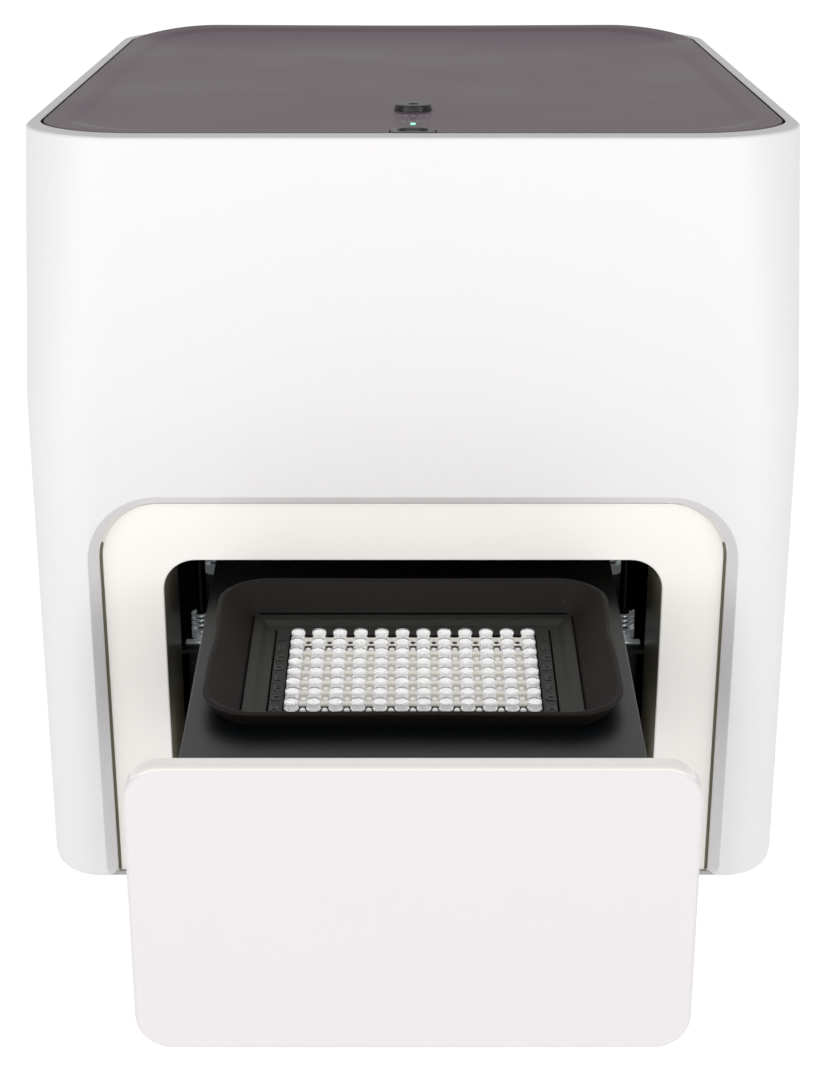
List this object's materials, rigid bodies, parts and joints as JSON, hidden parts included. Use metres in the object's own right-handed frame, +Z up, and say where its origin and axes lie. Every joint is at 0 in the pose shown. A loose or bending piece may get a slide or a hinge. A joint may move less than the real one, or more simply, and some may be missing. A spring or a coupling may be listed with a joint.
{
  "type": "real-time pcr machine",
  "caption": "Bench real-time PCR instrument: tapered white casing with arched front, open motor drawer with collared sample block and tube strips, dark top panel with push buttons.",
  "frame": {"origin": "on the bench, in the middle of the footprint of the whole instrument with its drawer open", "axes": "+Z up, -Y out of the front where the drawer opens, +X to the right as seen from the front"},
  "size_m": [0.3404, 0.6227, 0.3623],
  "materials": {
    "casing_white": "fine moulded texture, cool white",
    "fascia_white": "fine moulded texture, warm white",
    "panel_grey": "satin dark warm grey",
    "deck_black": "satin blue-black enamel",
    "collar_rubber": "matt silicone",
    "bezel_olive": "matt moulded",
    "button_black": "satin button",
    "tube_clear": "clear polypropylene",
    "sheet_steel": "zinc-plated sheet",
    "black_steel": "black powder coat",
    "bright_steel": "ground and polished",
    "aluminium": "machined",
    "anodised": "dark anodised",
    "fan_black": "glass-filled nylon",
    "inlet_black": "moulded",
    "brass_pins": "nickel-free contacts",
    "circuit_green": "solder mask",
    "feet_rubber": "moulded",
    "glass_clear": "coated optics",
    "peltier_ceramic": "alumina faces",
    "pinion_brass": "cut gear",
    "rack_nylon": "moulded nylon",
    "light_pipe": "moulded light pipe"
  },
  "bodies": {
    "root": {"outer_housing": "casing_white", "front_fascia": "fascia_white", "base_plate": "sheet_steel", "feet": "feet_rubber", "top_panel": "panel_grey", "status_lights": "light_pipe", "button_board": "circuit_green", "rear_panel": "black_steel", "exhaust_fan_frame": "fan_black", "power_inlet": "inlet_black", "inlet_pins": "brass_pins", "power_switch": "inlet_black", "network_port": "inlet_black", "usb_port": "sheet_steel", "chassis_sides": "black_steel", "slide_outer": "bright_steel", "guide_posts": "bright_steel", "lid_bridge": "sheet_steel", "scan_rods": "bright_steel", "scan_blocks": "aluminium", "drawer_motor": "bright_steel", "motor_bracket": "sheet_steel", "power_supply": "sheet_steel", "main_board": "circuit_green", "board_standoffs": "pinion_brass"},
    "drawer": {"drawer_front": "fascia_white", "carriage": "black_steel", "deck_plate": "deck_black", "collar": "collar_rubber", "collar_bezel": "bezel_olive", "letter_frame": "bezel_olive", "sample_block": "anodised", "peltier_modules": "peltier_ceramic", "heat_sink": "aluminium", "sink_posts": "bright_steel", "sink_fan_frame": "fan_black", "slide_inner": "bright_steel", "drive_rack": "rack_nylon"},
    "slide_mid": {"slide_middle": "bright_steel"},
    "tubes": {"tube_strips": "tube_clear"},
    "sink_fan": {"sink_fan_rotor": "fan_black"},
    "pinion": {"drive_pinion": "pinion_brass"},
    "lid": {"lid_carrier": "aluminium", "heated_plate": "anodised", "lid_lens": "glass_clear"},
    "scanner": {"scan_head": "anodised"},
    "filters": {"filter_wheel": "anodised", "filter_glass": "glass_clear"},
    "exhaust_fan": {"exhaust_fan_rotor": "fan_black"},
    "round_button": {"power_button": "button_black"},
    "drawer_button": {"eject_button": "button_black"},
    "rocker": {"power_rocker": "inlet_black"}
  },
  "joints": [
    {"name": "drawer_slide", "type": "slide", "parent": "root", "child": "drawer", "axis": [0, 1, 0], "range_m": [0, 0.1813]},
    {"name": "slide_middle_slide", "type": "slide", "parent": "root", "child": "slide_mid", "axis": [0, 1, 0], "range_m": [0, 0.09065]},
    {"name": "pinion_spin", "type": "hinge", "parent": "root", "child": "pinion", "pos_m": [0.058, -0.05085, 0.03425], "axis": [1, 0, 0], "range_deg": [-1040, 0]},
    {"name": "tube_lift", "type": "slide", "parent": "drawer", "child": "tubes", "axis": [0, 0, -1], "range_m": [-0.04, 0]},
    {"name": "sink_fan_spin", "type": "hinge", "parent": "drawer", "child": "sink_fan", "pos_m": [0, -0.19865, 0.072], "axis": [0, 0, 1], "continuous": true},
    {"name": "lid_press", "type": "slide", "parent": "root", "child": "lid", "axis": [0, 0, -1], "range_m": [0, 0.0136]},
    {"name": "scan_slide", "type": "slide", "parent": "root", "child": "scanner", "axis": [1, 0, 0], "range_m": [-0.05, 0.05]},
    {"name": "filter_turn", "type": "hinge", "parent": "scanner", "child": "filters", "pos_m": [0, -0.01735, 0.265], "axis": [0, 0, 1], "continuous": true},
    {"name": "exhaust_fan_spin", "type": "hinge", "parent": "root", "child": "exhaust_fan", "pos_m": [0.062, 0.29315, 0.14], "axis": [0, 1, 0], "continuous": true},
    {"name": "round_button_press", "type": "slide", "parent": "root", "child": "round_button", "axis": [0, -0.1045, -0.9945], "range_m": [0, 0.001], "stiffness_N_per_m": 400},
    {"name": "drawer_button_press", "type": "slide", "parent": "root", "child": "drawer_button", "axis": [0, -0.1045, -0.9945], "range_m": [0, 0.001], "stiffness_N_per_m": 400},
    {"name": "rocker_tilt", "type": "hinge", "parent": "root", "child": "rocker", "pos_m": [-0.052, 0.30345, 0.062], "axis": [1, 0, 0], "range_deg": [-9, 9]}
  ],
  "couplings": [
    {"joint": "slide_middle_slide", "follows": "drawer_slide", "ratio": 0.5},
    {"joint": "pinion_spin", "follows": "drawer_slide", "rad_per_m": -100}
  ]
}
